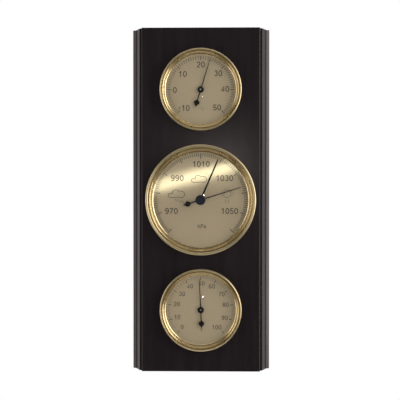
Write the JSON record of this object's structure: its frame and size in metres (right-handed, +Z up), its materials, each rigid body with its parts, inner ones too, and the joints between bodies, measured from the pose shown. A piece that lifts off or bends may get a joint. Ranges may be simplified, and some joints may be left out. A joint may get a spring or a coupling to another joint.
{
  "type": "analogue weather station",
  "caption": "Wall-hung analogue weather station: thermometer, aneroid barometer and hygrometer in brass bezels on a dark moulded wooden board, with working movements.",
  "frame": {"origin": "centre of the entry hole of the keyhole hanger, in the wall plane behind the board's back", "axes": "+Z up, +X to the right as the viewer sees the dials, +Y into the wall; the dials face -Y"},
  "size_m": [0.126, 0.0392, 0.313],
  "materials": {
    "bimetal": "satin",
    "black_lacquer": "glossy",
    "black_plastic": "glossy",
    "brass": "satin",
    "brass_sheet": "satin",
    "dial_metal": "satin",
    "glass": "polished",
    "hygroscopic_strip": "satin",
    "nickel_silver": "satin",
    "polished_brass": "polished",
    "rubber": "matt",
    "spring_bronze": "satin",
    "stained_wood": "satin",
    "steel": "satin",
    "zinc_steel": "satin"
  },
  "bodies": {
    "board": {"backboard": "stained_wood", "hanger_plate": "zinc_steel", "hanger_screws": "brass", "thermometer_fit_ring": "rubber", "thermometer_case": "brass_sheet", "thermometer_bezel": "polished_brass", "thermometer_ring": "polished_brass", "thermometer_glass": "glass", "thermometer_dial": "dial_metal", "thermometer_bridge": "zinc_steel", "thermometer_pillars": "brass", "hygrometer_fit_ring": "rubber", "hygrometer_case": "brass_sheet", "hygrometer_bezel": "polished_brass", "hygrometer_ring": "polished_brass", "hygrometer_glass": "glass", "hygrometer_dial": "dial_metal", "hygrometer_bridge": "zinc_steel", "hygrometer_pillars": "brass", "small_bridge_screws": "steel", "barometer_fit_ring": "rubber", "barometer_case": "brass_sheet", "barometer_bezel": "polished_brass", "barometer_ring": "polished_brass", "barometer_glass": "glass", "barometer_dial": "dial_metal", "barometer_hairspring": "spring_bronze", "barometer_capsule": "nickel_silver", "barometer_carrier": "steel", "barometer_carrier_screws": "steel", "barometer_base_plate": "brass", "barometer_base_screws": "steel", "barometer_pillars": "brass", "barometer_movement_plate": "brass", "barometer_plate_screws": "steel", "barometer_bridge": "brass", "barometer_bridge_pillars": "brass", "barometer_bridge_screws": "steel", "set_knob_bush": "black_plastic", "set_knob_nut": "brass"},
    "thermometer_adjuster": {"thermometer_adjuster": "brass", "thermometer_coil_arm": "brass", "thermometer_coil": "bimetal"},
    "thermometer_hand": {"thermometer_hand": "black_lacquer", "thermometer_arbor": "steel"},
    "hygrometer_adjuster": {"hygrometer_adjuster": "brass", "hygrometer_coil_arm": "brass", "hygrometer_coil": "hygroscopic_strip"},
    "hygrometer_hand": {"hygrometer_hand": "black_lacquer", "hygrometer_arbor": "steel"},
    "barometer_hand": {"barometer_hand": "black_lacquer", "barometer_arbor": "steel"},
    "barometer_sector": {"barometer_sector": "brass", "barometer_sector_shaft": "steel"},
    "barometer_rocker": {"barometer_rocker": "steel"},
    "capsule_stem": {"barometer_capsule_stem": "brass"},
    "barometer_adjusting_screw": {"barometer_adjusting_screw": "steel"},
    "set_knob": {"set_knob": "black_plastic", "set_hand": "black_lacquer"}
  },
  "joints": [
    {"name": "thermometer_adjust", "type": "hinge", "parent": "board", "child": "thermometer_adjuster", "pos_m": [0, -0.02, -0.042], "axis": [0, 1, 0], "range_deg": [-20, 20]},
    {"name": "thermometer_hand_turn", "type": "hinge", "parent": "thermometer_adjuster", "child": "thermometer_hand", "pos_m": [0, -0.02, -0.042], "axis": [0, 1, 0], "range_deg": [-152.1, 117.9], "deforming": ["thermometer_coil"]},
    {"name": "hygrometer_adjust", "type": "hinge", "parent": "board", "child": "hygrometer_adjuster", "pos_m": [0, -0.02, -0.242], "axis": [0, 1, 0], "range_deg": [-20, 20]},
    {"name": "hygrometer_hand_turn", "type": "hinge", "parent": "hygrometer_adjuster", "child": "hygrometer_hand", "pos_m": [0, -0.02, -0.242], "axis": [0, 1, 0], "range_deg": [-132.3, 137.7], "deforming": ["hygrometer_coil"]},
    {"name": "barometer_hand_turn", "type": "hinge", "parent": "board", "child": "barometer_hand", "pos_m": [0, -0.02, -0.142], "axis": [0, 1, 0], "range_deg": [-207.63, 62.37], "deforming": ["barometer_hairspring"]},
    {"name": "barometer_sector_turn", "type": "hinge", "parent": "board", "child": "barometer_sector", "pos_m": [-0.02198, -0.02, -0.14095], "axis": [0, 1, 0], "range_deg": [-6.24, 20.77]},
    {"name": "barometer_rocker_turn", "type": "hinge", "parent": "board", "child": "barometer_rocker", "pos_m": [-0.01, -0.01262, -0.14095], "axis": [1, 0, 0], "range_deg": [-20.28, 6.09]},
    {"name": "capsule_stem_slide", "type": "slide", "parent": "board", "child": "capsule_stem", "axis": [0, 1, 0], "range_m": [-0.0003716, 0.0001117], "deforming": ["barometer_capsule"]},
    {"name": "barometer_adjusting_screw_turn", "type": "hinge", "parent": "board", "child": "barometer_adjusting_screw", "pos_m": [0, -0.003, -0.142], "axis": [0, 1, 0], "range_deg": [-180, 180]},
    {"name": "set_hand_turn", "type": "hinge", "parent": "board", "child": "set_knob", "pos_m": [0, -0.033, -0.142], "axis": [0, 1, 0], "continuous": true}
  ],
  "couplings": [
    {"joint": "barometer_sector_turn", "follows": "barometer_hand_turn", "ratio": -0.1},
    {"joint": "barometer_rocker_turn", "follows": "barometer_hand_turn", "ratio": 0.097647},
    {"joint": "capsule_stem_slide", "follows": "barometer_hand_turn", "m_per_rad": 0.00010253}
  ]
}
